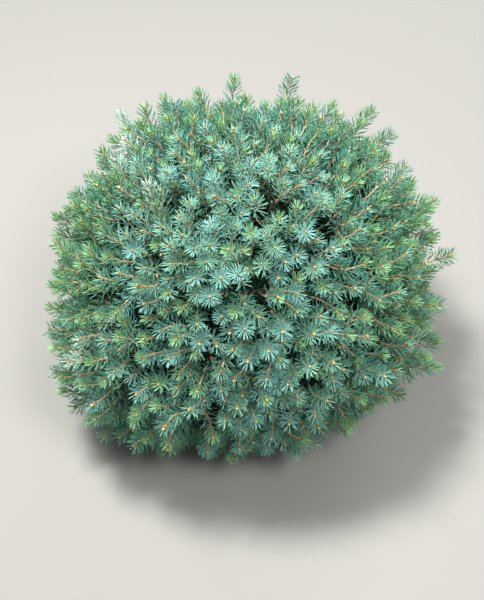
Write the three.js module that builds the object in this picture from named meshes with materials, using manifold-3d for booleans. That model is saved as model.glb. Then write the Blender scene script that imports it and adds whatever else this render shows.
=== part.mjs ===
// Dwarf white spruce of flat-globe habit, rooted in open ground.
// Millimetres, +Z up. The origin is the middle of the flat cut through the trunk at ground level,
// +X is to the right and -Y towards the viewer.
import * as THREE from 'three';
import Module from 'manifold-3d';
import { mergeVertices } from 'three/addons/utils/BufferGeometryUtils.js';

const wasm = await Module();
wasm.setup();

// Crown: a flattened globe, measured from its middle to the tips of the needles
const CROWN_HALF_WIDTH = 155;
const CROWN_HALF_HEIGHT = 126;
const CROWN_MIDDLE = new THREE.Vector3(0, 0, 93);
const GROUND_CLEARANCE = 1.5;

// Where the globe swells or sinks: degrees round, degrees up, share of the reach, degrees across
const SWELLS = [
  { round: 50, up: 34, rise: 0.1, across: 26 },
  { round: 122, up: 36, rise: 0.11, across: 22 },
  { round: 14, up: 18, rise: 0.05, across: 16 },
  { round: -3, up: 6, rise: -0.07, across: 13 },
  { round: -175, up: 5, rise: -0.06, across: 14 },
  { round: -138, up: -13, rise: 0.1, across: 20 },
  { round: -86, up: -22, rise: -0.08, across: 34 },
  { round: -26, up: -6, rise: 0.08, across: 12 },
  { round: -42, up: -15, rise: -0.04, across: 12 },
];

// Longest shoots, which break the outline: degrees round, degrees up, reach from the crown's middle
const LEADERS = [
  { round: 93, up: 40, reach: 159 },
  { round: 72, up: 40, reach: 163 },
  { round: 44, up: 33, reach: 166 },
  { round: 36, up: 29, reach: 163 },
  { round: 15, up: 18, reach: 160 },
  { round: -5, up: 16, reach: 162 },
  { round: -14, up: 6, reach: 154 },
  { round: -26, up: -6, reach: 162 },
  { round: -72, up: -23, reach: 140 },
  { round: -93, up: -26, reach: 137 },
  { round: 107, up: 40, reach: 151 },
  { round: 119, up: 37, reach: 155 },
  { round: 134, up: 33, reach: 160 },
  { round: 168, up: 16, reach: 151 },
  { round: -160, up: 2, reach: 152 },
  { round: -146, up: -8, reach: 160 },
  { round: -50, up: 12, reach: 156 },
  { round: -110, up: 5, reach: 156 },
  { round: -128, up: 40, reach: 145 },
  { round: -30, up: 62, reach: 138 },
  { round: 110, up: -8, reach: 157 },
  { round: 150, up: -12, reach: 154 },
  { round: 62, up: 0, reach: 156 },
  { round: 35, up: -14, reach: 156 },
];

// Trunk
const TRUNK_FOOT_RADIUS = 9.5;
const TRUNK_TIP_RADIUS = 3;
const TRUNK_SHARE = 0.36; // of the crown's reach straight up, where the trunk ends
const FLARE = 5;
const FLARE_HEIGHT = 9;
const ROOT_RIDGES = 4;
const ROOT_RIDGE_SHARE = 0.14;
const TRUNK_SWAY = 2.2;
const TRUNK_LEAN = 4;
const TRUNK_SIDES = 12;
const TRUNK_STEPS = 8;
const TRUNK_CLOSENESS = 1.6; // steps lie closer at the foot, where the trunk flares

// Whorls of boughs with the foliage that each one carries
const WHORLS = [
  { name: 'low', count: 7, up: -27, first: 10, height: 34, bough: 3.4 },
  { name: 'mid', count: 7, up: 8, first: 36, height: 61, bough: 3.2 },
  { name: 'high', count: 5, up: 47, first: 5, height: 90, bough: 2.8 },
];
const STAGGER = 9; // between neighbouring boughs of a whorl, up the trunk
const AIM_WANDER = 5; // degrees
const BOUGH_SHARE = 0.4; // of the crown's reach, where a bough ends
const BOUGH_TIP_RADIUS = 2;
const BOUGH_SIDES = 5;
const BOUGH_STEPS = 3;
const KNEE_OUT = 0.6; // of a bough's length, level, where it turns upwards
const KNEE_UP = 0.35; // of its rise, at the same place
const SEAT_GAP = 0.3;
const SLIVER = 0.03; // faces thinner than this are merged into their neighbours
const SPACE_GAP = 0.5; // between the spaces of two masses

// Masses: a dense core on a stem, with shoots standing out of it
const CORE_INNER = 0.48; // shares of the crown's reach
const CORE_MIDDLE = 0.57;
const CORE_OUTER = 0.7;
const CORE_DETAIL = 4;
const CORE_WALL = 1.2;
const CORE_UNEVEN = 0.08;
const TOOTH = 16; // height of the tooth of needles on each face of a core
const TOOTH_UNEVEN = 0.3; // share by which a tooth is lower or higher
const TOOTH_LEAN = 3;
const UNDERSIDE_UP = -50; // degrees, below which the crown is open round its trunk
const PAST_CROWN = 400;
const FORK_SHARE = 0.62;
const TWIG_RADIUS = 1.7;
const TWIG_SIDES = 3;
const STEM_STEPS = 2;
const STEM_LEAD = 0.4; // share of a stem's length for which it keeps its bough's direction

// Shoots
const SHOOTS = 212; // over a whole globe; those that would lie in the ground are left out
const SHOOT_WANDER = 3; // degrees
const LEADER_ROOM = 8; // degrees kept free round each leader
const UNEVEN_REACH = 0.04;
const LONGEST_FAN = 3; // shoots that leave one fork
const SHOOT_LEAD = 0.45; // share of a shoot's length for which it keeps its fan's direction
const SHOOT_RADIUS = 1.5;
const SHOOT_TIP_RADIUS = 0.9;
const NEEDLE_BANDS = 2; // with six needles each
const BARE_SHARE = 0.62; // of a shoot, from its fork
const LAST_NEEDLES = 0.9;
const NEEDLE_LENGTH = 17;
const TIP_NEEDLE_LENGTH = 12;
const NEEDLE_UNEVEN = 0.1;
const SHORTER = [1, 0.8, 0.62]; // tried in turn, to keep a needle among its own
const NEEDLE_TILT = 66; // degrees from the shoot, on the lowest row
const TIP_NEEDLE_TILT = 27;
const TILT_DELAY = 1.5; // above 1, the needles start to lean forwards late
const PAST_TIP = 6; // how far the last needles reach past the end of the shoot
const LOWEST_TIP = 4.5;
const WALL_ROOM = 4;
const SAMPLES = 8; // places along a shoot at which its distance is measured

const BARK = new THREE.MeshStandardMaterial({ color: 0x75573f, roughness: 0.9, metalness: 0 });
const NEEDLES = new THREE.MeshStandardMaterial({ color: 0x6f9f88, roughness: 0.6, metalness: 0 });

const radians = THREE.MathUtils.degToRad;
const mix = THREE.MathUtils.lerp;

// A repeatable number from 0 to 1 for each pair of whole numbers
function chance(first, second) {
  const wave = Math.sin(first * 12.9898 + second * 78.233) * 43758.5453;
  return wave - Math.floor(wave);
}

function direction(round, up) {
  const across = Math.cos(radians(up));
  return new THREE.Vector3(
    across * Math.cos(radians(round)),
    across * Math.sin(radians(round)),
    Math.sin(radians(up)),
  );
}

// How far the needles reach from the crown's middle in one direction
function reach(way) {
  const level = Math.hypot(way.x, way.y) / CROWN_HALF_WIDTH;
  const globe = 1 / Math.hypot(level, way.z / CROWN_HALF_HEIGHT);
  let share = 1;
  for (const swell of SWELLS) {
    const away = way.angleTo(direction(swell.round, swell.up)) / radians(swell.across);
    share += swell.rise * Math.exp(-away * away);
  }
  return globe * share;
}

function place(way, share) {
  return CROWN_MIDDLE.clone().addScaledVector(way, reach(way) * share);
}

// Solids

function closed(geometry) {
  geometry.deleteAttribute('normal');
  geometry.deleteAttribute('uv');
  return mergeVertices(geometry, 1e-4);
}

function solid(geometry) {
  return new wasm.Manifold(new wasm.Mesh({
    numProp: 3,
    vertProperties: new Float32Array(geometry.attributes.position.array),
    triVerts: new Uint32Array(geometry.index.array),
  }));
}

// The one large body of a join: slivers and scraps are dropped and sealed hollows are filled
function oneBody(joined) {
  const bodies = joined.simplify(SLIVER).decompose();
  return bodies.reduce((best, body) => (body.volume() > best.volume() ? body : best));
}

function node(name, body, material) {
  const made = body.getMesh();
  const geometry = new THREE.BufferGeometry();
  geometry.setAttribute('position', new THREE.BufferAttribute(made.vertProperties, 3));
  geometry.setIndex(new THREE.BufferAttribute(made.triVerts, 1));
  geometry.computeVertexNormals();
  const mesh = new THREE.Mesh(geometry, material);
  mesh.name = name;
  return mesh;
}

// Bends an upright geometry along a curve: its height of 1 becomes the curve, its radius of 1 the limb's.
// A point on its axis stays on the curve.
function bend(geometry, curve, radiusAt, turnAt = () => 0) {
  const points = geometry.attributes.position;
  const side = new THREE.Vector3(1, 0, 0);
  if (Math.abs(curve.getTangent(0.5).x) > 0.8) side.set(0, 1, 0);
  for (let i = 0; i < points.count; i += 1) {
    const along = points.getY(i) + 0.5;
    const out = Math.hypot(points.getX(i), points.getZ(i));
    const forward = curve.getTangent(along);
    const across = side.clone().addScaledVector(forward, -side.dot(forward)).normalize();
    const third = across.clone().cross(forward);
    const angle = Math.atan2(points.getZ(i), points.getX(i)) + turnAt(along);
    const radius = out > 1e-6 ? radiusAt(along, angle) : 0;
    const at = curve.getPoint(along)
      .addScaledVector(across, radius * Math.cos(angle))
      .addScaledVector(third, radius * Math.sin(angle));
    points.setXYZ(i, at.x, at.y, at.z);
  }
  return geometry;
}

function limb(curve, radiusAt, sides, steps) {
  return solid(bend(closed(new THREE.CylinderGeometry(1, 1, 1, sides, steps)), curve, radiusAt));
}

// Trunk

const trunkTop = CROWN_HALF_HEIGHT * TRUNK_SHARE + CROWN_MIDDLE.z;

function trunkHeight(share) {
  return trunkTop * share ** TRUNK_CLOSENESS;
}

function trunkAxis(height) {
  const share = height / trunkTop;
  return new THREE.Vector3(
    TRUNK_LEAN * share * share,
    TRUNK_SWAY * Math.sin(Math.PI * share),
    height,
  );
}

class TrunkCurve extends THREE.Curve {
  getPoint(share, target = new THREE.Vector3()) {
    return target.copy(trunkAxis(trunkHeight(share)));
  }

  getTangent(share, target = new THREE.Vector3()) {
    // upright at the foot and the tip, so that both cuts are level
    return target.set(0, 0, 1);
  }
}

function trunkRadius(height, angle) {
  const taper = mix(TRUNK_FOOT_RADIUS, TRUNK_TIP_RADIUS, height / trunkTop);
  const foot = Math.exp(-height / FLARE_HEIGHT);
  const ridges = 1 + ROOT_RIDGE_SHARE * foot * Math.cos(ROOT_RIDGES * angle);
  return (taper + FLARE * foot) * ridges;
}

function trunk(extra = 0) {
  const radiusAt = (share, angle) => trunkRadius(trunkHeight(share), angle) + extra;
  return limb(new TrunkCurve(), radiusAt, TRUNK_SIDES, TRUNK_STEPS);
}

// Boughs, each with the direction of its foliage

const boughs = [];
WHORLS.forEach((whorl, tier) => {
  for (let i = 0; i < whorl.count; i += 1) {
    const wander = (k) => AIM_WANDER * (2 * chance(tier * 10 + i + 1, k) - 1);
    const aim = direction(whorl.first + (360 * i) / whorl.count + wander(1), whorl.up + wander(2));
    const height = whorl.height + STAGGER * ((i % 3) - 1);
    const start = trunkAxis(height);
    const end = place(aim, BOUGH_SHARE);
    const knee = new THREE.Vector3(
      mix(start.x, end.x, KNEE_OUT),
      mix(start.y, end.y, KNEE_OUT),
      mix(start.z, end.z, KNEE_UP),
    );
    boughs.push({
      name: `${whorl.name}_${i + 1}`,
      aim,
      radius: whorl.bough,
      curve: new THREE.QuadraticBezierCurve3(start, knee, end),
    });
  }
});

function bough(one, seat) {
  const radiusAt = (share) => mix(one.radius, BOUGH_TIP_RADIUS, share);
  return oneBody(limb(one.curve, radiusAt, BOUGH_SIDES, BOUGH_STEPS).subtract(seat));
}

// Spaces of the masses: each holds the directions that are nearest to its own aim

const masses = boughs.map((one) => ({
  name: one.name,
  aim: one.aim,
  seat: one.curve.getPoint(1),
  lead: one.curve.getTangent(1),
}));
masses.push({
  name: 'top',
  aim: direction(0, 90),
  seat: trunkAxis(trunkTop),
  lead: new THREE.Vector3(0, 0, 1),
});

for (const mass of masses) {
  mass.walls = masses.filter((other) => other !== mass)
    .map((other) => mass.aim.clone().sub(other.aim).normalize());
}

// Room between a point and the nearest wall of a mass's space, below 0 outside it
function room(mass, point) {
  const from = point.clone().sub(CROWN_MIDDLE);
  let least = point.z - GROUND_CLEARANCE;
  for (const wall of mass.walls) least = Math.min(least, from.dot(wall) - SPACE_GAP / 2);
  return least;
}

// Ends of the shoots, spread evenly over the crown, with the leaders among them

function shootEnds() {
  const ends = LEADERS.map((leader) => ({
    way: direction(leader.round, leader.up),
    reach: leader.reach,
  }));
  const golden = 180 * (3 - Math.sqrt(5));
  for (let i = 0; i < SHOOTS; i += 1) {
    const up = THREE.MathUtils.radToDeg(Math.asin(1 - (2 * i + 1) / SHOOTS));
    const wander = (k) => SHOOT_WANDER * (2 * chance(i + 1, k) - 1);
    const round = golden * i + wander(3) / Math.max(0.2, Math.cos(radians(up)));
    const way = direction(round, up + wander(4));
    const near = ends.slice(0, LEADERS.length)
      .some((end) => end.way.angleTo(way) < radians(LEADER_ROOM));
    const length = reach(way) * (1 - UNEVEN_REACH * chance(i + 1, 5));
    if (!near && CROWN_MIDDLE.z + way.z * length > LOWEST_TIP) ends.push({ way, reach: length });
  }
  return ends;
}

for (const mass of masses) mass.ends = [];
for (const end of shootEnds()) {
  const nearest = masses.reduce((best, mass) => (
    mass.aim.angleTo(end.way) < best.aim.angleTo(end.way) ? mass : best));
  const tip = CROWN_MIDDLE.clone().addScaledVector(end.way, end.reach - PAST_TIP);
  for (const wall of nearest.walls) {
    const short = WALL_ROOM - tip.clone().sub(CROWN_MIDDLE).dot(wall);
    if (short > 0) tip.addScaledVector(wall, short);
  }
  if (room(nearest, tip) > WALL_ROOM / 2) nearest.ends.push(tip);
}

// Fans: neighbouring shoots that leave one fork

function fans(mass) {
  const left = [...mass.ends];
  const middle = place(mass.aim, 1);
  const made = [];
  while (left.length > 0) {
    left.sort((a, b) => b.distanceTo(middle) - a.distanceTo(middle));
    const first = left.shift();
    left.sort((a, b) => a.distanceTo(first) - b.distanceTo(first));
    const tips = [first, ...left.splice(0, LONGEST_FAN - 1)];
    const mean = tips.reduce((sum, tip) => sum.add(tip), new THREE.Vector3())
      .divideScalar(tips.length)
      .sub(CROWN_MIDDLE)
      .normalize();
    made.push({ fork: place(mean, FORK_SHARE), way: mean, tips });
  }
  return made;
}

// Raises a pyramid on each face for which tipOf gives a place, so that a face becomes a needle or a tooth
function raise(form, tipOf) {
  const places = Array.from(form.attributes.position.array);
  const faces = [];
  for (let i = 0; i < form.index.count; i += 3) {
    const face = [0, 1, 2].map((k) => form.index.getX(i + k));
    const tip = tipOf(face, i);
    if (tip) {
      const top = places.length / 3;
      places.push(tip.x, tip.y, tip.z);
      faces.push(face[0], face[1], top, face[1], face[2], top, face[2], face[0], top);
    } else {
      faces.push(...face);
    }
  }
  const geometry = new THREE.BufferGeometry();
  geometry.setAttribute('position', new THREE.Float32BufferAttribute(places, 3));
  geometry.setIndex(faces);
  return solid(geometry);
}

function faceMiddle(form, face) {
  const sum = new THREE.Vector3();
  for (const k of face) sum.add(new THREE.Vector3().fromBufferAttribute(form.attributes.position, k));
  return sum.divideScalar(3);
}

// Shoot: a slim three-sided twig, twisted so that its faces alternate, with needles raised on them
function shoot(mass, curve, seed, others) {
  const bands = NEEDLE_BANDS + 2;
  const form = closed(new THREE.ConeGeometry(1, 1, TWIG_SIDES, bands));
  const points = form.attributes.position;
  const rows = [];
  for (let i = 0; i < points.count; i += 1) {
    rows.push(Math.round((points.getY(i) + 0.5) * bands));
    const share = rows[i] === 0 ? 0 : mix(BARE_SHARE, 1, (rows[i] - 1) / (bands - 1));
    const out = Math.hypot(points.getX(i), points.getZ(i)) > 1e-6 ? 1 : 0;
    const angle = Math.atan2(points.getZ(i), points.getX(i)) + (rows[i] * Math.PI) / TWIG_SIDES;
    points.setXYZ(i, out * Math.cos(angle), share - 0.5, out * Math.sin(angle));
  }
  bend(form, curve, (along) => mix(SHOOT_RADIUS, SHOOT_TIP_RADIUS, along), () => seed);
  return raise(form, (face, i) => {
    if (Math.min(...face.map((k) => rows[k])) === 0) return null;
    const row = face.reduce((sum, k) => sum + rows[k], 0) / 3;
    const share = mix(BARE_SHARE, 1, (row - 1) / (bands - 1));
    return SHORTER.map((part) => needleTip(curve, faceMiddle(form, face), share, part, seed + i))
      .find((tip) => room(mass, tip) > 0 && others.every((other) => closer(curve, other, tip)));
  });
}

function needleTip(curve, root, share, part, seed) {
  const forward = curve.getTangent(share);
  const outward = root.clone().sub(curve.getPoint(share));
  outward.addScaledVector(forward, -outward.dot(forward)).normalize();
  const towardsTip = Math.min(1, (share - BARE_SHARE) / (LAST_NEEDLES - BARE_SHARE));
  const tilt = radians(mix(NEEDLE_TILT, TIP_NEEDLE_TILT, towardsTip ** TILT_DELAY));
  const uneven = 1 + NEEDLE_UNEVEN * (2 * chance(seed, 6) - 1);
  const length = part * uneven * mix(NEEDLE_LENGTH, TIP_NEEDLE_LENGTH, towardsTip);
  return root.addScaledVector(forward, length * Math.cos(tilt))
    .addScaledVector(outward, length * Math.sin(tilt));
}

// Whether a needle's tip lies nearer to its own shoot than to another one
function closer(own, other, point) {
  return distance(own, point) < distance(other, point);
}

function distance(curve, point) {
  return Math.min(...curve.getPoints(SAMPLES).map((at) => at.distanceTo(point)));
}

// Cores: the dense inside of the crown, divided into the spaces of the masses

function globe(share, detail, tooth = 0) {
  const form = closed(new THREE.IcosahedronGeometry(1, detail));
  const points = form.attributes.position;
  for (let i = 0; i < points.count; i += 1) {
    const way = new THREE.Vector3().fromBufferAttribute(points, i).normalize();
    const at = place(way, share * (1 + CORE_UNEVEN * (chance(i, 7) - 0.5)));
    points.setXYZ(i, at.x, at.y, Math.max(at.z, GROUND_CLEARANCE));
  }
  return raise(form, (face, i) => {
    const root = faceMiddle(form, face);
    const way = root.clone().sub(CROWN_MIDDLE).normalize();
    if (tooth === 0 || way.z < Math.sin(radians(UNDERSIDE_UP))) return null;
    const lean = [7, 8, 9].map((k) => TOOTH_LEAN * (2 * chance(i, k) - 1));
    const height = tooth * (1 + TOOTH_UNEVEN * (2 * chance(i, 10) - 1));
    return root.addScaledVector(way, height).add(new THREE.Vector3(...lean));
  });
}

function underside() {
  const height = CROWN_MIDDLE.z;
  const width = height / Math.tan(radians(-UNDERSIDE_UP));
  const cone = new THREE.ConeGeometry(2 * width, 2 * height, TRUNK_SIDES).rotateX(Math.PI / 2);
  return solid(closed(cone.translate(0, 0, CROWN_MIDDLE.z - height)));
}

const denseCrown = globe(CORE_OUTER, CORE_DETAIL, TOOTH)
  .subtract(globe(CORE_INNER, 1))
  .subtract(underside());

function core(mass) {
  const cuts = mass.walls.map((wall) => {
    const block = new THREE.BoxGeometry(2 * PAST_CROWN, 2 * PAST_CROWN, PAST_CROWN);
    const turn = new THREE.Quaternion().setFromUnitVectors(new THREE.Vector3(0, 0, 1), wall);
    const middle = CROWN_MIDDLE.clone().addScaledVector(wall, CORE_WALL - PAST_CROWN / 2);
    return solid(closed(block.applyQuaternion(turn).translate(middle.x, middle.y, middle.z)));
  });
  return denseCrown.subtract(wasm.Manifold.union(cuts));
}

function foliage(mass, seed) {
  const heart = place(mass.aim, CORE_MIDDLE);
  const foot = mass.seat.clone().addScaledVector(mass.lead, SEAT_GAP);
  const knee = foot.clone().addScaledVector(mass.lead, STEM_LEAD * foot.distanceTo(heart));
  const stem = new THREE.QuadraticBezierCurve3(foot, knee, heart);
  const stemRadius = mass.name === 'top' ? TRUNK_TIP_RADIUS : BOUGH_TIP_RADIUS;
  const pieces = [core(mass), limb(stem, () => stemRadius, BOUGH_SIDES, STEM_STEPS)];
  const curves = [];
  for (const fan of fans(mass)) {
    pieces.push(limb(new THREE.LineCurve3(heart, fan.fork), () => TWIG_RADIUS, TWIG_SIDES, 1));
    for (const tip of fan.tips) {
      const lead = fan.fork.clone().addScaledVector(fan.way, SHOOT_LEAD * fan.fork.distanceTo(tip));
      curves.push(new THREE.QuadraticBezierCurve3(fan.fork, lead, tip));
    }
  }
  curves.forEach((curve, i) => {
    const others = curves.filter((other) => other !== curve);
    pieces.push(shoot(mass, curve, seed * 20 + i, others));
  });
  return oneBody(wasm.Manifold.union(pieces));
}

const group = new THREE.Group();
group.add(node('trunk', trunk(), BARK));
const seat = trunk(SEAT_GAP);
for (const one of boughs) group.add(node(`bough_${one.name}`, bough(one, seat), BARK));
masses.forEach((mass, i) => group.add(node(`foliage_${mass.name}`, foliage(mass, i + 1), NEEDLES)));

export default group;
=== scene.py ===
import itertools
import math

import bpy
from mathutils import Matrix, Vector, noise


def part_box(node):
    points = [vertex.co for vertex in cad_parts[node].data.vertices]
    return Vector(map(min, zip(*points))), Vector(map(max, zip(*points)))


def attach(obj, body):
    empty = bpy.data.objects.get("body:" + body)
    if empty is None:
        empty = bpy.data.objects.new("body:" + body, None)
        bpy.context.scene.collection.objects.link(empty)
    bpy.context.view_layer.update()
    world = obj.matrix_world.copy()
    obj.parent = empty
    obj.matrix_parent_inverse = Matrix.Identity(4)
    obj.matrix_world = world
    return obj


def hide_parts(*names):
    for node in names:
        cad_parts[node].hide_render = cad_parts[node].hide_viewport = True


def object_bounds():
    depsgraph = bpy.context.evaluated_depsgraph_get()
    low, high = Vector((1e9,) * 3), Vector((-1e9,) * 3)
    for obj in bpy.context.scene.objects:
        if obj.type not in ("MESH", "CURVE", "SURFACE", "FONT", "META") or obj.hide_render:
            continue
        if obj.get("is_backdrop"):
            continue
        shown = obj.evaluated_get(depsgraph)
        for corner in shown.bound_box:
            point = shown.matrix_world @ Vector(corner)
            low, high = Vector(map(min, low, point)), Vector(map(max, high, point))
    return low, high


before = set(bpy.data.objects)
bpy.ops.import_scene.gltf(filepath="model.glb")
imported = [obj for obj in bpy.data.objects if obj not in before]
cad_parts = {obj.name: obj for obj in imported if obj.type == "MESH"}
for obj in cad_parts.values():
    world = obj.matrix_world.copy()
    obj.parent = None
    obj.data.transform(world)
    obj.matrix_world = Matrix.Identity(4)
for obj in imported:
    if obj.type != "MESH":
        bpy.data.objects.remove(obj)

solid_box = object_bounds()

# Camera
# It looks down on the plant from near its front, as someone who stands over it does.
# Its lens, height and tilt are the photograph's.
CAMERA_PLACE = (0, -0.555, 0.705)
CAMERA_PITCH = 48.7  # below the horizon
CAMERA_LENS = 66  # mm, on a 36 mm sensor along the picture's long side

camera = bpy.data.objects.new("camera", bpy.data.cameras.new("camera"))
camera.data.lens = CAMERA_LENS
camera.location = CAMERA_PLACE
camera.rotation_euler = (math.radians(90 - CAMERA_PITCH), 0, 0)
bpy.context.scene.collection.objects.link(camera)
bpy.context.scene.camera = camera

# Trunk
# One short trunk leans a little, swells into four root ridges and runs up inside the foliage.
# Its bark is thin and breaks into small scales.
TRUNK_FOOT_RADIUS = 0.0095
TRUNK_TIP_RADIUS = 0.003
FLARE = 0.005
FLARE_HEIGHT = 0.009
ROOT_RIDGES = 4
ROOT_RIDGE_SHARE = 0.14
TRUNK_SWAY = 0.0022
TRUNK_LEAN = 0.004
BARK_SCALE = 0.0032  # width of one scale of bark
BARK_RELIEF = 0.0004
BARK_FACE = 0.0013  # width of one face of the mesh
FEWEST_SIDES = 10
CRACK_STEEPNESS = 3
SCALE_SWELL = 0.6  # of the relief, in the slow swell over several scales
SWELL_SPAN = 3  # scales of bark in one slow swell
NEARBY = 0.01  # share of a limb to each side, between which its direction is taken
BLOTCH_SHARE = 0.3  # blotches of colour to one scale of bark
CRACK_EDGES = (0.02, 0.16)  # share of a scale, from the bottom of a crack to its edge
BLOTCH_DETAIL = 4
BLOTCH_BUMP = 0.4

trunk_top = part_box("trunk")[1].z


def mix(first, second, share):
    return first + (second - first) * share


def trunk_axis(height):
    share = height / trunk_top
    return Vector((TRUNK_LEAN * share ** 2, TRUNK_SWAY * math.sin(math.pi * share), height))


def trunk_radius(height, angle):
    taper = mix(TRUNK_FOOT_RADIUS, TRUNK_TIP_RADIUS, height / trunk_top)
    foot = math.exp(-height / FLARE_HEIGHT)
    return (taper + FLARE * foot) * (1 + ROOT_RIDGE_SHARE * foot * math.cos(ROOT_RIDGES * angle))


def bark_relief(place):
    """Height of the bark at a place: flat scales with cracks between them."""
    near, next_near = noise.voronoi(place / BARK_SCALE)[0][:2]
    scale = min(1, CRACK_STEEPNESS * (next_near - near))
    return BARK_RELIEF * (scale + SCALE_SWELL * noise.noise(place / BARK_SCALE / SWELL_SPAN))


def piece_of(name, mesh):
    """A piece at the origin that rides on the plant's one body."""
    piece = bpy.data.objects.new(name, mesh)
    bpy.context.scene.collection.objects.link(piece)
    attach(piece, "root")
    return piece


def bark_skin(name, axis, radius, length, widest, level=False):
    """A closed skin of bark round a limb, with flat rings where it is level.

    The functions axis and radius take a share of the limb's length.
    """
    around = max(FEWEST_SIDES, round(2 * math.pi * widest / BARK_FACE))
    along = round(length / BARK_FACE)
    points = []
    for row in range(along + 1):
        share = row / along
        middle = axis(share)
        forward = axis(min(1, share + NEARBY)) - axis(max(0, share - NEARBY))
        if level:
            forward = Vector((0, 0, 1))
        turn = forward.to_track_quat("Z", "Y")
        for column in range(around):
            angle = 2 * math.pi * column / around
            out = turn @ Vector((math.cos(angle), math.sin(angle), 0))
            edge = middle + out * radius(share, angle)
            points.append(edge + out * bark_relief(edge))
    faces = []
    for row in range(along):
        for column in range(around):
            after = (column + 1) % around
            low, high = row * around, (row + 1) * around
            faces.append((low + column, low + after, high + after, high + column))
    faces.append(tuple(reversed(range(around))))
    faces.append(tuple(range(along * around, (along + 1) * around)))
    mesh = bpy.data.meshes.new(name)
    mesh.from_pydata(points, [], faces)
    mesh.shade_smooth()
    return mesh


def linear(colour):
    """A colour written as sRGB hex, such as 8C6242, as the linear values that Blender takes."""
    values = [int(colour[i:i + 2], 16) / 255 for i in (0, 2, 4)]
    return [v / 12.92 if v <= 0.04045 else ((v + 0.055) / 1.055) ** 2.4 for v in values] + [1]


def add(tree, kind, inputs=None, **settings):
    """Adds a node with its settings, and links or sets each of its inputs.

    An input goes by its name, or by its number where names repeat. A node stands for its first output.
    """
    made = tree.nodes.new(kind)
    for name, value in settings.items():
        setattr(made, name, value)
    for key, value in (inputs or {}).items():
        if isinstance(value, bpy.types.Node):
            value = value.outputs[0]
        if isinstance(value, bpy.types.NodeSocket):
            tree.links.new(value, made.inputs[key])
        else:
            made.inputs[key].default_value = value
    return made


def material(name, **values):
    """A material with its one shader, whose sockets are set by name with _ for a space."""
    made = bpy.data.materials.new(name)
    made.use_nodes = True
    made.node_tree.nodes.clear()
    shader = add(made.node_tree, "ShaderNodeBsdfPrincipled")
    for key, value in values.items():
        shader.inputs[key.replace("_", " ")].default_value = value
    add(made.node_tree, "ShaderNodeOutputMaterial", {"Surface": shader})
    return made, shader


def scaly_bark():
    """Young spruce bark: dull grey-brown scales with warmer, darker cracks, and no gloss."""
    made, shader = material("spruce_bark_scaly", Roughness=0.88, Specular_IOR_Level=0.25)
    tree = made.node_tree
    place = add(tree, "ShaderNodeTexCoord").outputs["Object"]
    scales = add(tree, "ShaderNodeTexVoronoi", {"Vector": place, "Scale": 1 / BARK_SCALE},
                 feature="DISTANCE_TO_EDGE")
    blotches = add(tree, "ShaderNodeTexNoise", {
        "Vector": place, "Scale": BLOTCH_SHARE / BARK_SCALE, "Detail": BLOTCH_DETAIL})
    ground = add(tree, "ShaderNodeMix", {
        0: blotches, 6: linear("7A6350"), 7: linear("94816D")}, data_type="RGBA")
    crack = add(tree, "ShaderNodeMapRange", {0: scales, 1: CRACK_EDGES[0], 2: CRACK_EDGES[1]})
    colour = add(tree, "ShaderNodeMix", {
        0: crack, 6: linear("4A3324"), 7: ground.outputs[2]}, data_type="RGBA")
    tree.links.new(colour.outputs[2], shader.inputs["Base Color"])
    bump = add(tree, "ShaderNodeBump", {
        "Height": blotches, "Strength": BLOTCH_BUMP, "Distance": BARK_RELIEF})
    tree.links.new(bump.outputs[0], shader.inputs["Normal"])
    return made


bark = scaly_bark()
trunk = piece_of("trunk_bark", bark_skin(
    "trunk_bark",
    lambda share: trunk_axis(trunk_top * share),
    lambda share, angle: trunk_radius(trunk_top * share, angle),
    trunk_top,
    TRUNK_FOOT_RADIUS,
    level=True,
))
trunk.data.materials.append(bark)
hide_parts("trunk")

# Boughs
# Three whorls of short boughs leave the trunk, each bent upwards where it turns into the light.
# They have the trunk's bark and end inside the foliage that they carry.
CROWN_HALF_WIDTH = 0.155
CROWN_HALF_HEIGHT = 0.126
CROWN_MIDDLE = Vector((0, 0, 0.093))
SWELLS = (  # where the globe swells or sinks: degrees round, degrees up, share, degrees across
    (50, 34, 0.1, 26),
    (122, 36, 0.11, 22),
    (14, 18, 0.05, 16),
    (-3, 6, -0.07, 13),
    (-175, 5, -0.06, 14),
    (-138, -13, 0.1, 20),
    (-86, -22, -0.08, 34),
    (-26, -6, 0.08, 12),
    (-42, -15, -0.04, 12),
)
WHORLS = (  # name, count, degrees up, degrees round of the first, height on the trunk, radius
    ("low", 7, -27, 10, 0.034, 0.0034),
    ("mid", 7, 8, 36, 0.061, 0.0032),
    ("high", 5, 47, 5, 0.090, 0.0028),
)
STAGGER = (-0.009, 0, 0.009)  # up the trunk, for the boughs of a whorl in turn
AIM_WANDER = 5
AIM_DRAWS = (1, 2)  # those that turn a bough's aim round and up
WHORL_SEEDS = 10  # between the first seeds of two whorls
SEED_STEP = 12.9898  # this and the next two scatter what is drawn
DRAW_STEP = 78.233
WAVE_HEIGHT = 43758.5453
BOUGH_SHARE = 0.4
BOUGH_TIP_RADIUS = 0.002
KNEE_OUT = 0.6
KNEE_UP = 0.35


def chance(seed, draw):
    """A repeatable number from 0 to 1 for a seed and the number of what is drawn for it."""
    wave = math.sin(seed * SEED_STEP + draw * DRAW_STEP) * WAVE_HEIGHT
    return wave - math.floor(wave)


def either_way(seed, draw):
    return 2 * chance(seed, draw) - 1


def direction(around, up):
    across = math.cos(math.radians(up))
    return Vector((
        across * math.cos(math.radians(around)),
        across * math.sin(math.radians(around)),
        math.sin(math.radians(up)),
    ))


swells = [(direction(around, up), rise, math.radians(across)) for around, up, rise, across in SWELLS]


def reach(way):
    """How far the needles reach from the crown's middle in one direction."""
    level = math.hypot(way.x, way.y) / CROWN_HALF_WIDTH
    globe = 1 / math.hypot(level, way.z / CROWN_HALF_HEIGHT)
    return globe * (1 + sum(rise * math.exp(-(way.angle(swell) / across) ** 2)
                            for swell, rise, across in swells))


def place(way, share):
    return CROWN_MIDDLE + way * (reach(way) * share)


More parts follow.
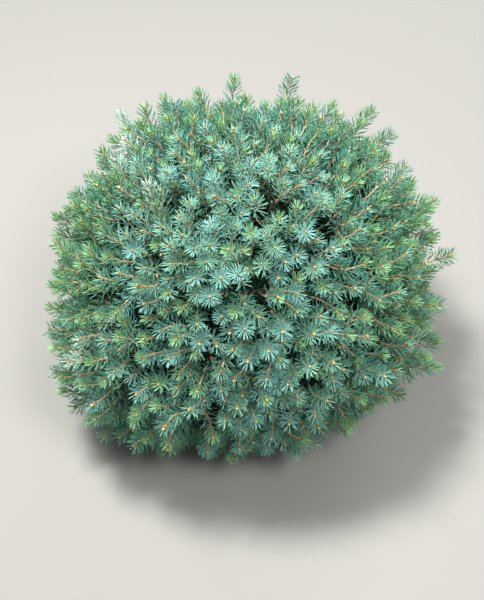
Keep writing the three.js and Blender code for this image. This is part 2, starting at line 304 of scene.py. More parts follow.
def curve_point(curve, share):
    """A point on the curve from the first of three points towards the second, to the third."""
    start, knee, end = curve
    return start.lerp(knee, share).lerp(knee.lerp(end, share), share)


masses = []
for tier, (whorl, count, up, first, height, radius) in enumerate(WHORLS):
    for i in range(count):
        seed = tier * WHORL_SEEDS + i + 1
        aim = direction(
            first + 360 * i / count + AIM_WANDER * either_way(seed, AIM_DRAWS[0]),
            up + AIM_WANDER * either_way(seed, AIM_DRAWS[1]),
        )
        start = trunk_axis(height + STAGGER[i % len(STAGGER)])
        end = place(aim, BOUGH_SHARE)
        knee = Vector((
            mix(start.x, end.x, KNEE_OUT),
            mix(start.y, end.y, KNEE_OUT),
            mix(start.z, end.z, KNEE_UP),
        ))
        name = f"{whorl}_{i + 1}"
        limb = piece_of(f"bark_bough_{name}", bark_skin(
            name,
            lambda share: curve_point((start, knee, end), share),
            lambda share, angle: mix(radius, BOUGH_TIP_RADIUS, share),
            (end - start).length,
            radius,
        ))
        limb.data.materials.append(bark)
        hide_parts(f"bough_{name}")
        masses.append({"name": name, "aim": aim, "seat": end, "lead": (end - knee).normalized()})

masses.append({
    "name": "top",
    "aim": direction(0, 90),
    "seat": trunk_axis(trunk_top),
    "lead": Vector((0, 0, 1)),
})

# Twigs
# Each bough carries old wood that forks into last year's twigs, and these into this year's shoots.
# Bark is orange-tan on the new shoots, brown on last year's and grey on the old wood.
LEADERS = (  # longest shoots, which break the outline: degrees round, degrees up, reach
    (93, 40, 0.159),
    (72, 40, 0.163),
    (44, 33, 0.166),
    (36, 29, 0.163),
    (15, 18, 0.160),
    (-5, 16, 0.162),
    (-14, 6, 0.154),
    (-26, -6, 0.162),
    (-72, -23, 0.140),
    (-93, -26, 0.137),
    (107, 40, 0.151),
    (119, 37, 0.155),
    (134, 33, 0.160),
    (168, 16, 0.151),
    (-160, 2, 0.152),
    (-146, -8, 0.160),
    (-50, 12, 0.156),
    (-110, 5, 0.156),
    (-128, 40, 0.145),
    (-30, 62, 0.138),
    (110, -8, 0.157),
    (150, -12, 0.154),
    (62, 0, 0.156),
    (35, -14, 0.156),
)
LEADER_ROOM = 8  # degrees kept free round each leader
SPACE_GAP = 0.0005
GROUND_CLEARANCE = 0.0015
HEART_SHARE = 0.57
STEM_LEAD = 0.4  # share of its length for which a stem keeps its bough's direction
HALF_WAY = 0.5
FORK_SHARE = 0.62
SHOOTS = 212  # over a whole globe; those that would lie in the ground are left out
SHOOT_WANDER = 3
POLE_WIDTH = 0.2  # least width of a ring of shoots, over which they wander
MAIN_DRAW = 3
REACH_DRAW = 5
UNEVEN_REACH = 0.04
LONGEST_FAN = 3  # shoots on one fork
SHOOT_LEAD = 0.45
PAST_TIP = 0.006  # how far needles and bud reach past the end of a shoot
LOWEST_TIP = 0.0045  # above the ground
WALL_ROOM = 0.004  # between a shoot's tip and the next mass
LEAST_WALL_ROOM = 0.002  # below which a shoot is left out
NODE_SHARE = 0.55  # of a main shoot, where this year's growth starts
HOLLOWS = (  # dark gaps between the shoots, whose inner shoots get painted shade: degrees round, degrees up, degrees across
    (-44, 75, 7),
    (-87, 47, 3),
    (-100, 25, 3),
    (-157, 67, 4),
    (-32, 53, 4),
    (-101, -3, 8),
    (-128, 0, 6),
    (-80, -4, 7),
    (-60, -8, 5),
    (100, 41, 6),
    (32, 27, 6),
    (-12, 11, 5),
    (150, 4, 6),
)
SIDE_LAYERS = (  # number over a globe, least and most reach, room at the ends, foot along a main shoot
    (7000, 0.87, 0.98, 0.0108, 0.3),
    (1500, 0.79, 0.88, 0.0116, 0.05),
)
SIDE_DRAW = 11
LAYER_DRAWS = 10  # between the draws of two layers
SUNNY_GROWTH = 0.5  # how much nearer to its foot a shoot's new growth starts, where the sun reaches it
SUNNY_ROOM = 0.45  # more room between shoots, as a share, where the sun reaches them
BACK_SHARE = 0.7  # of the sun at the two sides, at the back
SIDE_NODE_SHARE = 0.42  # of a side shoot, where this year's growth starts
TURN_SHARE = 0.72  # of its length, over which a shoot turns away from the crown's middle
UPTURN = 0.38  # of a shoot that lies level, and less the steeper it stands
SHOOT_SWERVE = 0.42  # how far chance turns a shoot aside, as a share of its way out
SWERVE_DRAWS = (51, 52, 53)  # one for each axis
OLD_TWIGS = 900  # needled old wood inside the crown, over a whole globe
OLD_REACH = (0.46, 0.74)
OLD_ROOM = 0.0082
OLD_DRAW = 41
OLD_FOOT_DRAW = 43  # it draws their reach too, so those that reach further start further out
STRAND_STEPS = 9
OLD, LAST_YEAR, NEW = range(3)  # ages
OUTER, BELOW, INSIDE = range(3)  # layers of the crown
GIRTHS = ((0.0022, 0.0015), (0.0012, 0.0010), (0.0008, 0.0006))  # radii at foot and end, for each age
FORK_GIRTHS = (0.0017, 0.0014)
COLLAR = 1.6  # times as thick, in the ring of old bud scales round the foot of a new shoot
TWIG_SIDES = 4
TWIG_STEP = 0.0055

for mass in masses:
    mass["walls"] = [(mass["aim"] - other["aim"]).normalized() for other in masses if other is not mass]
    mass["mains"] = []
    mass["strands"] = []


def spread(count, draw):
    """Directions that lie evenly over a globe, each moved a little by this draw and the next."""
    golden = 180 * (3 - math.sqrt(5))
    for i in range(count):
        up = math.degrees(math.asin(1 - (2 * i + 1) / count))
        width = max(POLE_WIDTH, math.cos(math.radians(up)))
        around = golden * i + SHOOT_WANDER * either_way(i + 1, draw) / width
        yield i + 1, direction(around, up + SHOOT_WANDER * either_way(i + 1, draw + 1))


def nearest_mass(way):
    return max(masses, key=lambda mass: mass["aim"].dot(way))


def main_ends():
    """Where the main shoots end, as in the solids: the leaders first, then those spread between them."""
    ends = [(direction(around, up), far) for around, up, far in LEADERS]
    for i, way in spread(SHOOTS, MAIN_DRAW):
        near = any(way.angle(leader) < math.radians(LEADER_ROOM) for leader, _ in ends[:len(LEADERS)])
        far = reach(way) * (1 - UNEVEN_REACH * chance(i, REACH_DRAW))
        if not near and CROWN_MIDDLE.z + way.z * far > LOWEST_TIP:
            ends.append((way, far))
    return ends


def wall_room(mass, point):
    from_middle = point - CROWN_MIDDLE
    walls = min(from_middle.dot(wall) - SPACE_GAP / 2 for wall in mass["walls"])
    return min(walls, point.z - GROUND_CLEARANCE)


for way, far in main_ends():
    mass = nearest_mass(way)
    tip = CROWN_MIDDLE + way * (far - PAST_TIP)
    for wall in mass["walls"]:
        short = WALL_ROOM - (tip - CROWN_MIDDLE).dot(wall)
        if short > 0:
            tip += wall * short
    if wall_room(mass, tip) > LEAST_WALL_ROOM:
        mass["mains"].append(tip)


def strand(mass, curve, age, first=0, last=1, girths=None, depth=OUTER):
    """Adds one stretch of twig to a mass, from one share of a curve to another."""
    shares = [k / STRAND_STEPS for k in range(STRAND_STEPS + 1)]
    points = [curve_point(curve, mix(first, last, share)) for share in shares]
    foot, end = girths or GIRTHS[age]
    girth = [mix(foot, end, share) for share in shares]
    if age == NEW:
        girth[0] *= COLLAR
    mass["strands"].append({"points": points, "age": age, "girth": girth, "depth": depth})


def sun_on(way):
    """How sunny a shoot stands in one direction, from 0 in front and on top to 1 at the two sides."""
    return way.x ** 2 + BACK_SHARE * max(0, way.y) ** 2


def growth_start(share, way):
    return share * (1 - SUNNY_GROWTH * sun_on(way))


turned = itertools.count(1)


def turning_out(foot, end):
    """The curve of a shoot that ends outwards, turned a little upwards and a little by chance."""
    seed = next(turned)
    swerve = Vector([SHOOT_SWERVE * either_way(seed, draw) for draw in SWERVE_DRAWS])
    radial = (end - CROWN_MIDDLE).normalized()
    way = (radial + Vector((0, 0, UPTURN * (1 - radial.z))) + swerve).normalized()
    return foot, end - way * TURN_SHARE * (end - foot).length, end


main_curves = []
for mass in masses:
    heart = place(mass["aim"], HEART_SHARE)
    lead = mass["seat"] + mass["lead"] * STEM_LEAD * (heart - mass["seat"]).length
    strand(mass, (mass["seat"], lead, heart), OLD)
    left = list(mass["mains"])
    middle = place(mass["aim"], 1)
    while left:
        left.sort(key=lambda tip: -(tip - middle).length)
        outermost = left.pop(0)
        left.sort(key=lambda tip: (tip - outermost).length)
        tips = [outermost] + left[:LONGEST_FAN - 1]
        left = left[LONGEST_FAN - 1:]
        mean = (sum(tips, Vector()) / len(tips) - CROWN_MIDDLE).normalized()
        fork = place(mean, FORK_SHARE)
        strand(mass, (heart, heart.lerp(fork, HALF_WAY), fork), OLD, girths=FORK_GIRTHS)
        for tip in tips:
            curve = (fork, fork + mean * SHOOT_LEAD * (tip - fork).length, tip)
            new_from = growth_start(NODE_SHARE, mean)
            node = curve_point(curve, new_from)
            strand(mass, curve, LAST_YEAR, last=new_from)
            strand(mass, turning_out(node, tip), NEW)
            main_curves.append((mass, curve))


def within(places, way):
    return any(way.angle(direction(around, up)) < math.radians(across) for around, up, across in places)


def free_ends(count, draw, least, most, room, taken):
    """Ends of shoots in the room that others leave free. The draw after next gives their reach."""
    for i, way in spread(count, draw):
        end = place(way, mix(least, most, chance(i, draw + 2))) - way * PAST_TIP
        needed = room * (1 + SUNNY_ROOM * sun_on(way))
        if end.z < LOWEST_TIP or any((end - other).length < needed for other in taken):
            continue
        taken.append(end)
        yield i, way, end


main_tips = [curve[2] for _, curve in main_curves]
for depth, (count, least, most, room, foot_share) in enumerate(SIDE_LAYERS):
    draw = SIDE_DRAW + LAYER_DRAWS * depth
    taken = main_tips if depth == OUTER else []
    for i, way, end in free_ends(count, draw, least, most, room, taken):
        if depth == OUTER and within(HOLLOWS, way):
            continue
        mass = nearest_mass(way)
        curves = [one for other, one in main_curves if other is mass]
        curve = min(curves, key=lambda one: (one[2] - end).length)
        side = turning_out(curve_point(curve, foot_share), end)
        new_from = growth_start(SIDE_NODE_SHARE, way)
        strand(mass, side, LAST_YEAR, last=new_from, depth=depth)
        strand(mass, side, NEW, first=new_from, depth=depth)

for i, way, end in free_ends(OLD_TWIGS, OLD_DRAW, *OLD_REACH, OLD_ROOM, []):
    mass = nearest_mass(way)
    foot = mass["seat"].lerp(place(mass["aim"], HEART_SHARE), chance(i, OLD_FOOT_DRAW))
    strand(mass, turning_out(foot, end), OLD, girths=GIRTHS[LAST_YEAR], depth=INSIDE)


def strand_mesh(strands, **values):
    """Stretches of twig as a mesh of edges, with what the node trees read at each of its points."""
    points, edges, girths, ages = [], [], [], []
    for one in strands:
        edges += [(len(points) + k, len(points) + k + 1) for k in range(len(one["points"]) - 1)]
        points += one["points"]
        girths += one["girth"]
        ages += [one["age"]] * len(one["points"])
    mesh = bpy.data.meshes.new("strands")
    mesh.from_pydata(points, edges, [])
    for key, numbers in ({"girth": girths, "age": ages} | values).items():
        kind = "INT" if isinstance(numbers[0], int) else "FLOAT"
        mesh.attributes.new(key, kind, "POINT").data.foreach_set("value", numbers)
    return mesh


def node_tree(name, **inputs):
    """An empty tree that takes and gives geometry, with its named inputs."""
    tree = bpy.data.node_groups.new(name, "GeometryNodeTree")
    tree.interface.new_socket("Geometry", in_out="INPUT", socket_type="NodeSocketGeometry")
    tree.interface.new_socket("Geometry", in_out="OUTPUT", socket_type="NodeSocketGeometry")
    for key, value in inputs.items():
        kind = {int: "Int", float: "Float", bpy.types.Object: "Object"}[type(value)]
        socket = tree.interface.new_socket(key, in_out="INPUT", socket_type=f"NodeSocket{kind}")
        socket.default_value = value
    return tree, tree.nodes.new("NodeGroupInput").outputs


def end_tree(tree, geometry, choices):
    """Ends a tree with its instances made real and each choice of material set."""
    last = add(tree, "GeometryNodeRealizeInstances", {0: geometry})
    for chosen, look in choices:
        last = add(tree, "GeometryNodeSetMaterial", {
            "Geometry": last, "Selection": chosen, "Material": look})
    add(tree, "NodeGroupOutput", {0: last})


def grown(name, mesh, tree, **values):
    """The mesh that a tree grows from another mesh, as a piece of its own."""
    source = bpy.data.objects.new(name + "_source", mesh)
    bpy.context.scene.collection.objects.link(source)
    modifier = source.modifiers.new("growth", "NODES")
    modifier.node_group = tree
    for item in tree.interface.items_tree:
        if item.in_out == "INPUT" and item.name in values:
            modifier[item.identifier] = values[item.name]
    evaluated = source.evaluated_get(bpy.context.evaluated_depsgraph_get())
    made = bpy.data.meshes.new_from_object(evaluated)
    source.modifiers.remove(modifier)
    bpy.data.objects.remove(source)
    made.name = name
    return piece_of(name, made)


def twig_bark(name, colour):
    """Bark of a young twig: thin, dry and smooth between its pegs, so it has a faint dull shine."""
    made, _ = material(name, Base_Color=linear(colour), Roughness=0.62, Specular_IOR_Level=0.35)
    return made


twig_barks = (
    twig_bark("spruce_wood_old", "37302A"),
    twig_bark("spruce_twig_last_year", "5E4F3D"),
    twig_bark("spruce_twig_new", "C0986E"),
)
twig_tree, given = node_tree("twigs", sides=TWIG_SIDES, step=TWIG_STEP)
line = add(twig_tree, "GeometryNodeMeshToCurve", {"Mesh": given["Geometry"]})
line = add(twig_tree, "GeometryNodeResampleCurve", {"Curve": line, "Length": given["step"]}, mode="LENGTH")
ring = add(twig_tree, "GeometryNodeCurvePrimitiveCircle", {"Resolution": given["sides"], "Radius": 1.0})
girth = add(twig_tree, "GeometryNodeInputNamedAttribute", {"Name": "girth"}, data_type="FLOAT")
tube = add(twig_tree, "GeometryNodeCurveToMesh", {
    "Curve": line, "Profile Curve": ring, "Scale": girth, "Fill Caps": True})
smooth = add(twig_tree, "GeometryNodeSetShadeSmooth", {0: tube})
age = add(twig_tree, "GeometryNodeInputNamedAttribute", {"Name": "age"}, data_type="INT")
end_tree(twig_tree, smooth, [
    (add(twig_tree, "FunctionNodeCompare", {2: age, 3: k}, data_type="INT", operation="EQUAL"), look)
    for k, look in enumerate(twig_barks)
])

for mass in masses:
    twigs = grown(f"twigs_{mass['name']}", strand_mesh(mass["strands"]), twig_tree)
    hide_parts(f"foliage_{mass['name']}")

# Buds
# Each new shoot ends in a fat bud with smaller ones beside it, closed for next year.
# Their dry overlapping scales are orange-brown at the foot and paler towards the point.
BUD_LENGTH = 0.003
BUD_WIDTH = 0.0021
BUD_SIDES = 4
BUD_RINGS = ((0.0, 0.6), (0.5, 1.0))  # share of the length, share of the width
SIDE_BUDS = 2
SIDE_BUD_SIZE = 0.65
SIDE_BUD_TILT = 58
SIDE_BUD_SET_BACK = 0.0008
SMALLEST_BUD = 0.75  # share of the length and width above
LARGEST_BUD = 1.3


def bud_mesh():
    """A bud along Z with its smaller ones round its foot."""
    points, faces, pale = [], [], []
    for k in range(SIDE_BUDS + 1):
        size = 1 if k == 0 else SIDE_BUD_SIZE
        lean = Matrix.Rotation(math.radians(SIDE_BUD_TILT if k else 0), 4, "X")
        turn = Matrix.Rotation(2 * math.pi * k / SIDE_BUDS, 4, "Z")
        set_back = Vector((0, 0, -SIDE_BUD_SET_BACK if k else 0))
        first = len(points)
        shape = [(0, 0, BUD_LENGTH)]
        for share, width in BUD_RINGS:
            for side in range(BUD_SIDES):
                angle = 2 * math.pi * side / BUD_SIDES
                across = BUD_WIDTH / 2 * width
                shape.append((across * math.cos(angle), across * math.sin(angle), BUD_LENGTH * share))
        points += [turn @ (lean @ (Vector(point) * size)) + set_back for point in shape]
        low, high = first + 1, first + 1 + BUD_SIDES
        for side in range(BUD_SIDES):
            after = (side + 1) % BUD_SIDES
            faces.append((low + side, low + after, high + after, high + side))
            faces.append((high + side, high + after, first))
            pale += [False, True]
        faces.append(tuple(first + 1 + side for side in reversed(range(BUD_SIDES))))
        pale.append(False)
    mesh = bpy.data.meshes.new("bud")
    mesh.from_pydata(points, [], faces)
    mesh.attributes.new("pale", "BOOLEAN", "FACE").data.foreach_set("value", pale)
    return mesh


def bud_scales(name, colour):
    """Dry bud scales: papery and thin, with a little resin that gives them a soft shine."""
    made, _ = material(name, Base_Color=linear(colour), Roughness=0.5, Specular_IOR_Level=0.45)
    return made


bud_looks = (bud_scales("bud_scales_foot", "A06F47"), bud_scales("bud_scales_point", "ADA067"))
bud_object = bpy.data.objects.new("bud", bud_mesh())
bud_tree, given = node_tree(
    "buds",
    bud=bud_object,
    smallest=SMALLEST_BUD,
    largest=LARGEST_BUD,
    seed=0,  # each mass sets its own
)
line = add(bud_tree, "GeometryNodeMeshToCurve", {"Mesh": given["Geometry"]})
age = add(bud_tree, "GeometryNodeInputNamedAttribute", {"Name": "age"}, data_type="INT")
is_new = add(bud_tree, "FunctionNodeCompare", {2: age, 3: NEW}, data_type="INT", operation="EQUAL")
is_end = add(bud_tree, "GeometryNodeCurveEndpointSelection", {"Start Size": 0, "End Size": 1})
both = add(bud_tree, "FunctionNodeBooleanMath", {0: is_new, 1: is_end}, operation="AND")
tangent = add(bud_tree, "GeometryNodeInputTangent")
along_shoot = add(bud_tree, "FunctionNodeAlignRotationToVector", {"Vector": tangent}, axis="Z")
bud = add(bud_tree, "GeometryNodeObjectInfo", {"Object": given["bud"]})
size = add(bud_tree, "FunctionNodeRandomValue", {
    2: given["smallest"], 3: given["largest"], "Seed": given["seed"]})
put = add(bud_tree, "GeometryNodeInstanceOnPoints", {
    "Points": line,
    "Selection": both,
    "Instance": bud.outputs["Geometry"],
    "Rotation": along_shoot,
    "Scale": size.outputs[1],
})
is_pale = add(bud_tree, "GeometryNodeInputNamedAttribute", {"Name": "pale"}, data_type="BOOLEAN")
is_dark = add(bud_tree, "FunctionNodeBooleanMath", {0: is_pale}, operation="NOT")
end_tree(bud_tree, put, [(is_dark, bud_looks[0]), (is_pale, bud_looks[1])])

for number, mass in enumerate(masses):
    budded = [one for one in mass["strands"] if one["depth"] == OUTER]
    buds = grown(f"buds_{mass['name']}", strand_mesh(budded), bud_tree, seed=number)
    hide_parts(f"foliage_{mass['name']}")
bpy.data.objects.remove(bud_object)

# Needles
# Each is stiff, slightly incurved and sharp. It stands on a peg of bark, all round its shoot, and here it
# has a broad inner face with a pale waxy bloom, and greener outer ones that meet in a keel.
NEEDLE_LENGTH = 0.0105
NEEDLE_WIDTH = 0.00068
NEEDLE_DEPTH = 0.00062
NEEDLE_SHOULDER = 0.8  # share of the length, from which it narrows to its point
NEEDLE_FOOT = 0.75  # of its width, at its foot
SHOULDER_BEND = 0.0002
POINT_BEND = 0.0006
NEEDLE_SPACINGS = (0.0013, 0.0011, 0.00058)  # along a twig of each age
DEEP_SPACING = 1.4  # times as wide in the layer below the outer one
TUFT_SPACING = 0.0004
TUFTED_FROM = 0.62  # of how far a shoot's tip is closed
CLOSED_BY_SUN = 0.5  # how much more closed a tip is in full sun
CLOSING_SUN = 0.3  # of the sun, above which it closes the tips of shoots, while shade opens them
CLOSED_DRAW = 33
TUFT_STEPS = 2  # of a shoot's stretches, at its end, with more needles
NEEDLE_TURN = 8 / 21  # of a full turn from one needle to the next, so that they stand in 21 rows
TURN_UNEVEN = 2.0
NEEDLE_TILT = 62.0
OPEN_TIP_TILT = 70.0
CLOSED_TIP_TILT = 18.0
TILT_DELAY = 4.5  # the higher, the nearer to the tip its needles start to close
TILT_UNEVEN = 5.0
LIFT = 0.12  # how far each needle turns up to the light, as a share of its length
TIP_NEEDLE_SIZE = 0.72
LEAST_NEEDLE_SIZE = 0.9
MOST_NEEDLE_SIZE = 1.06
TURN_SEED = 200  # added to the seed by which needles tilt unevenly
SIZE_SEED = 100
MASS_SEEDS = 100  # between the first seeds of two masses
TUFT_START = 0.85  # share of a shoot, from which its needles are the youngest
SHADED_SIDE = 3.55  # tint, as its place in the row of tints below, on the front and the top
SUNNY_GREEN = 1.05
SUNNY_SPACING = 0.4  # more room between needles, as a share, where the sun reaches them
SUNNY_SIZE = 0.25  # how much larger they are there
OLD_SIZE = 0.35  # how much larger they are on old wood, where they are fewer than in life
SUNNY_INSIDE = 0.5  # of the sun, from which the shoots inside get painted deep shade
SKIRT = 0.1  # of a direction's rise, below which the crown is painted dark inside, as painted shade
TINT_UNEVEN = 0.75
TINT_DRAW = 31
PAINTED_SUN_PLACES = (  # where the youngest shoots are paler as painted sunlight: degrees round, degrees up, degrees across
    (134, 33, 4),
    (144, 39, 5),
    (160, 38, 5),
    (126, 41, 4),
    (-173, 55, 4),
    (-139, 20, 4),
    (-145, 9, 5),
)


def needle_mesh():
    """One needle along Z, its inner face towards +Y."""
    half = NEEDLE_WIDTH / 2
    foot = half * NEEDLE_FOOT
    shoulder = NEEDLE_LENGTH * NEEDLE_SHOULDER
    points = [
        (-foot, 0, 0),
        (foot, 0, 0),
        (-half, SHOULDER_BEND, shoulder),
        (half, SHOULDER_BEND, shoulder),
        (0, SHOULDER_BEND - NEEDLE_DEPTH, shoulder),
        (0, POINT_BEND, NEEDLE_LENGTH),
    ]
    inner = [(0, 2, 3, 1), (2, 5, 3)]
    outer = [(0, 4, 2), (0, 1, 4), (1, 3, 4), (2, 4, 5), (3, 5, 4)]
    mesh = bpy.data.meshes.new("needle")
    mesh.from_pydata(points, [], inner + outer)
    is_inner = [True] * len(inner) + [False] * len(outer)
    mesh.attributes.new("inner", "BOOLEAN", "FACE").data.foreach_set("value", is_inner)
    return mesh


def needle(name, colour, bloom):
    """Living spruce needle: a waxed leaf. The wax dulls its gloss and pales it towards its edges."""
    made, _ = material(
        f"spruce_needle_{name}",
        Base_Color=linear(colour),
        Roughness=0.55,
        Specular_IOR_Level=0.15,
        Sheen_Weight=bloom,
        Sheen_Roughness=0.45,
        Sheen_Tint=linear("C8E0DC"),
    )
    return made


# Inner and outer faces of each tint of needle. The first is darker both as old needles and as painted
# shade, the second is darker as painted shade and the last is paler as painted sunlight.
TINTS = (
    (needle("old_and_shade_inner", "123226", 0.02), needle("old_and_shade_outer", "0A2118", 0.02)),
    (needle("shaded_inner", "2A5D4A", 0.03), needle("shaded_outer", "174031", 0.02)),
    (needle("green_inner", "7AA881", 0.04), needle("green_outer", "528961", 0.03)),
    (needle("blue_green_inner", "78AA94", 0.06), needle("blue_green_outer", "508B6F", 0.03)),
    (needle("blue_inner", "79AEA2", 0.08), needle("blue_outer", "51907F", 0.03)),
    (needle("youngest_inner", "88B984", 0.05), needle("youngest_outer", "699C69", 0.03)),
    (needle("painted_sun_inner", "C0DBCE", 0.15), needle("painted_sun_outer", "9EC4B0", 0.08)),
)
OLD_AND_SHADE_TINT, SHADED_TINT, GREENEST, _, BLUEST, YOUNGEST, PAINTED_SUN_TINT = range(len(TINTS))

needle_object = bpy.data.objects.new("needle", needle_mesh())
needle_tree, given = node_tree(
    "needles",
    needle=needle_object,
    length=NEEDLE_LENGTH,
    turn=2 * math.pi * NEEDLE_TURN,
    turn_uneven=math.radians(TURN_UNEVEN),
    tilt=math.radians(NEEDLE_TILT),
    tilt_delay=TILT_DELAY,
    tilt_uneven=math.radians(TILT_UNEVEN),
    lift=LIFT,
    tip_size=TIP_NEEDLE_SIZE,
    least_size=LEAST_NEEDLE_SIZE,
    most_size=MOST_NEEDLE_SIZE,
    tuft_start=TUFT_START,
    ground=GROUND_CLEARANCE,
    seed=0,  # each mass sets its own
)
stored = {
    name: add(needle_tree, "GeometryNodeInputNamedAttribute", {"Name": name}, data_type=kind)
    for name, kind in (
        ("spacing", "FLOAT"),
        ("along", "FLOAT"),
        ("size", "FLOAT"),
        ("tip_tilt", "FLOAT"),
        ("tufted", "FLOAT"),
        ("tint", "INT"),
        ("inner", "BOOLEAN"),
    )
}
drawn = {}
for name, step, least, most in (
    ("tilt", 0, -1.0, 1.0),
    ("turn", TURN_SEED, -1.0, 1.0),
    ("size", SIZE_SEED, given["least_size"], given["most_size"]),
):
    seed = add(needle_tree, "FunctionNodeIntegerMath", {0: given["seed"], 1: step}, operation="ADD")
    value = add(needle_tree, "FunctionNodeRandomValue", {2: least, 3: most, "Seed": seed})
    drawn[name] = value.outputs[1]

# Needles stand in rows round the twig, tilted from it, and nearer to it towards a closed tip
line = add(needle_tree, "GeometryNodeMeshToCurve", {"Mesh": given["Geometry"]})
line = add(needle_tree, "GeometryNodeResampleCurve", {
    "Curve": line, "Length": stored["spacing"]}, mode="LENGTH")
closing = add(needle_tree, "ShaderNodeMath", {
    0: stored["along"], 1: given["tilt_delay"]}, operation="POWER")
tilt = add(needle_tree, "ShaderNodeMix", {0: closing, 2: given["tilt"], 3: stored["tip_tilt"]})
tilt = add(needle_tree, "ShaderNodeMath", {
    0: drawn["tilt"], 1: given["tilt_uneven"], 2: tilt}, operation="MULTIPLY_ADD")
row = add(needle_tree, "GeometryNodeInputIndex")
around = add(needle_tree, "ShaderNodeMath", {0: row, 1: given["turn"]}, operation="MULTIPLY")
around = add(needle_tree, "ShaderNodeMath", {
    0: drawn["turn"], 1: given["turn_uneven"], 2: around}, operation="MULTIPLY_ADD")
tangent = add(needle_tree, "GeometryNodeInputTangent")
turn = add(needle_tree, "FunctionNodeAlignRotationToVector", {"Vector": tangent}, axis="Z")
for angles in ({"Z": around}, {"X": tilt}):
    about = add(needle_tree, "ShaderNodeCombineXYZ", angles)
    about = add(needle_tree, "FunctionNodeEulerToRotation", {0: about})
    turn = add(needle_tree, "FunctionNodeRotateRotation", {0: turn, 1: about}, rotation_space="LOCAL")

# Each turns up to the light a little
out = add(needle_tree, "FunctionNodeRotateVector", {"Vector": (0, 0, 1), "Rotation": turn})
up = add(needle_tree, "ShaderNodeCombineXYZ", {"Z": given["lift"]})
lifted = add(needle_tree, "ShaderNodeVectorMath", {0: out, 1: up}, operation="ADD")
turn = add(needle_tree, "FunctionNodeAlignRotationToVector", {
    "Rotation": turn, "Vector": lifted}, axis="Z")

# None goes below the ground, which the height of its point tells
size = add(needle_tree, "ShaderNodeMix", {0: closing, 2: stored["size"], 3: given["tip_size"]})
size = add(needle_tree, "ShaderNodeMath", {0: size, 1: drawn["size"]}, operation="MULTIPLY")
length = add(needle_tree, "ShaderNodeMath", {0: size, 1: given["length"]}, operation="MULTIPLY")
out = add(needle_tree, "ShaderNodeCombineXYZ", {"Z": length})
out = add(needle_tree, "FunctionNodeRotateVector", {"Vector": out, "Rotation": turn})
root = add(needle_tree, "GeometryNodeInputPosition")
point = add(needle_tree, "ShaderNodeVectorMath", {0: root, 1: out}, operation="ADD")
height = add(needle_tree, "ShaderNodeSeparateXYZ", {0: point}).outputs["Z"]
above = add(needle_tree, "ShaderNodeMath", {0: height, 1: given["ground"]}, operation="GREATER_THAN")

# Those at the closed tip of a shoot have the youngest tint
youngest = add(needle_tree, "ShaderNodeMath", {
    0: stored["along"], 1: given["tuft_start"]}, operation="GREATER_THAN")
youngest = add(needle_tree, "ShaderNodeMath", {0: youngest, 1: stored["tufted"]}, operation="MULTIPLY")
tint = add(needle_tree, "ShaderNodeMix", {0: youngest, 2: stored["tint"], 3: float(YOUNGEST)})
tinted = add(needle_tree, "GeometryNodeStoreNamedAttribute", {
    "Geometry": line, "Name": "tint", "Value": tint}, data_type="INT", domain="POINT")
shape = add(needle_tree, "GeometryNodeObjectInfo", {"Object": given["needle"]})
put = add(needle_tree, "GeometryNodeInstanceOnPoints", {
    "Points": tinted,
    "Selection": above,
    "Instance": shape.outputs["Geometry"],
    "Rotation": turn,
    "Scale": size,
})
choices = []
for k, (inner_look, outer_look) in enumerate(TINTS):
    this = add(needle_tree, "FunctionNodeCompare", {
        2: stored["tint"], 3: k}, data_type="INT", operation="EQUAL")
    both = add(needle_tree, "FunctionNodeBooleanMath", {
        0: this, 1: stored["inner"]}, operation="AND")
    choices += [(this, outer_look), (both, inner_look)]
end_tree(needle_tree, put, choices)


def strand_tint(one, way, seed):
    """Tint of the needles on one stretch of twig: greener at the two sides and the back, darker if old,
    darker inside as painted shade and paler on a few young shoots as painted sunlight.
    """
    in_shade = within(HOLLOWS, way) or way.z < SKIRT or sun_on(way) > SUNNY_INSIDE
    # Old needles take the darkest tint, and so do those inside where the painted shade lies deepest
    if one["age"] != NEW or one["depth"] != OUTER and in_shade:
        return OLD_AND_SHADE_TINT
    # The rest of the shoots inside are darker as painted shade
    if one["depth"] != OUTER:
        return SHADED_TINT
    # A few young shoots at these places are painted paler as painted sunlight
    if within(PAINTED_SUN_PLACES, way):
        return PAINTED_SUN_TINT
    tint = SHADED_SIDE - SUNNY_GREEN * sun_on(way) + TINT_UNEVEN * either_way(seed, TINT_DRAW)
    return max(GREENEST, min(BLUEST, round(tint)))


def needled(one, seed):
    """One stretch of twig with what its needles follow. A new shoot gives its end again, for its tuft."""
    new = one["age"] == NEW
    way = (one["points"][-1] - CROWN_MIDDLE).normalized()
    closed = min(1, chance(seed, CLOSED_DRAW) + CLOSED_BY_SUN * (sun_on(way) - CLOSING_SUN))
    spacing = NEEDLE_SPACINGS[one["age"]] * (DEEP_SPACING if one["depth"] == BELOW else 1)
    steps = len(one["points"]) - 1
    whole = one | {
        "along": [k / steps if new else 0.0 for k in range(steps + 1)],
        "spacing": spacing * (1 + SUNNY_SPACING * sun_on(way)),
        "tint": strand_tint(one, way, seed),
        "size": 1 + (OLD_SIZE if one["age"] == OLD else SUNNY_SIZE * sun_on(way)),
        "tip_tilt": math.radians(mix(OPEN_TIP_TILT, CLOSED_TIP_TILT, closed)),
        "tufted": float(new and closed > TUFTED_FROM),
    }
    if not new or one["depth"] != OUTER:
        return [whole]
    end = {key: whole[key][-1 - TUFT_STEPS:] for key in ("points", "girth", "along")}
    return [whole, whole | end | {"spacing": TUFT_SPACING}]


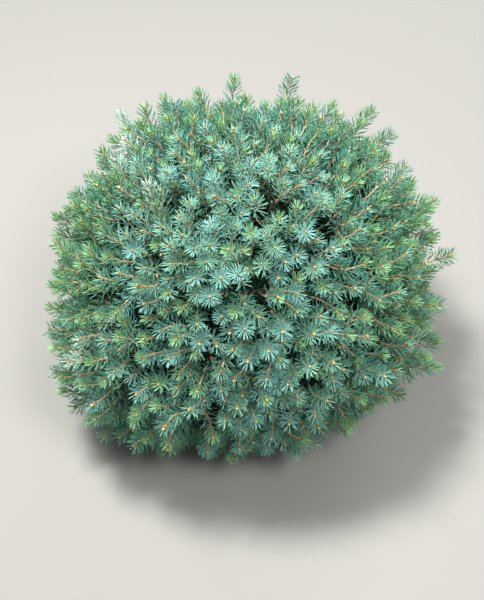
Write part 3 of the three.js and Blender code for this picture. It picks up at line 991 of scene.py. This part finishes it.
for number, mass in enumerate(masses):
    strands = []
    for seed, whole in enumerate(mass["strands"], number * MASS_SEEDS):
        strands += needled(whole, seed)
    values = {key: [one[key] for one in strands for _ in one["points"]]
              for key in ("spacing", "size", "tint", "tip_tilt", "tufted")}
    mesh = strand_mesh(strands, along=[share for one in strands for share in one["along"]], **values)
    needles = grown(f"needles_{mass['name']}", mesh, needle_tree, seed=number)
    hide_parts(f"foliage_{mass['name']}")
bpy.data.objects.remove(needle_object)

# Ground and light
# A plain pale floor with matt paint, which scatters light evenly, and soft studio light from three lamps.
# The main lamp is high on the left, the second is in front on the right and the weakest is behind.
FLOOR_SIDE = 3
FLOOR_COLOUR = "94928D"
LAMPS = (  # name, place, watts, side
    ("key_light", (-0.4, 0.15, 1.45), 40.5, 0.34),
    ("fill_light", (0.5, -0.7, 1.4), 17.5, 0.5),
    ("back_light", (0.9, 1.2, 0.8), 13, 0.8),
)
ROOM_COLOUR = (0.9, 0.95, 1, 1)  # of the light from all round, linear
ROOM_STRENGTH = 0.23

floor_mesh = bpy.data.meshes.new("floor")
half = FLOOR_SIDE / 2
corners = [(-half, -half, 0), (half, -half, 0), (half, half, 0), (-half, half, 0)]
floor_mesh.from_pydata(corners, [], [(0, 1, 2, 3)])
floor = bpy.data.objects.new("floor", floor_mesh)
bpy.context.scene.collection.objects.link(floor)
floor_look, _ = material("floor_paint_matt", Base_Color=linear(FLOOR_COLOUR), Roughness=0.9)
floor.data.materials.append(floor_look)
floor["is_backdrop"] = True

for name, spot, watts, side in LAMPS:
    light = bpy.data.objects.new(name, bpy.data.lights.new(name, "AREA"))
    light.data.energy = watts
    light.data.size = side
    light.location = spot
    light.rotation_euler = (Vector(spot) - CROWN_MIDDLE).to_track_quat("Z", "Y").to_euler()
    bpy.context.scene.collection.objects.link(light)

world = bpy.data.worlds.new("studio")
world.use_nodes = True
background = world.node_tree.nodes["Background"]
background.inputs["Color"].default_value = ROOM_COLOUR
background.inputs["Strength"].default_value = ROOM_STRENGTH
bpy.context.scene.world = world
bpy.context.scene.view_settings.view_transform = "Standard"

[[list(corner) for corner in box] for box in (solid_box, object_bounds())]
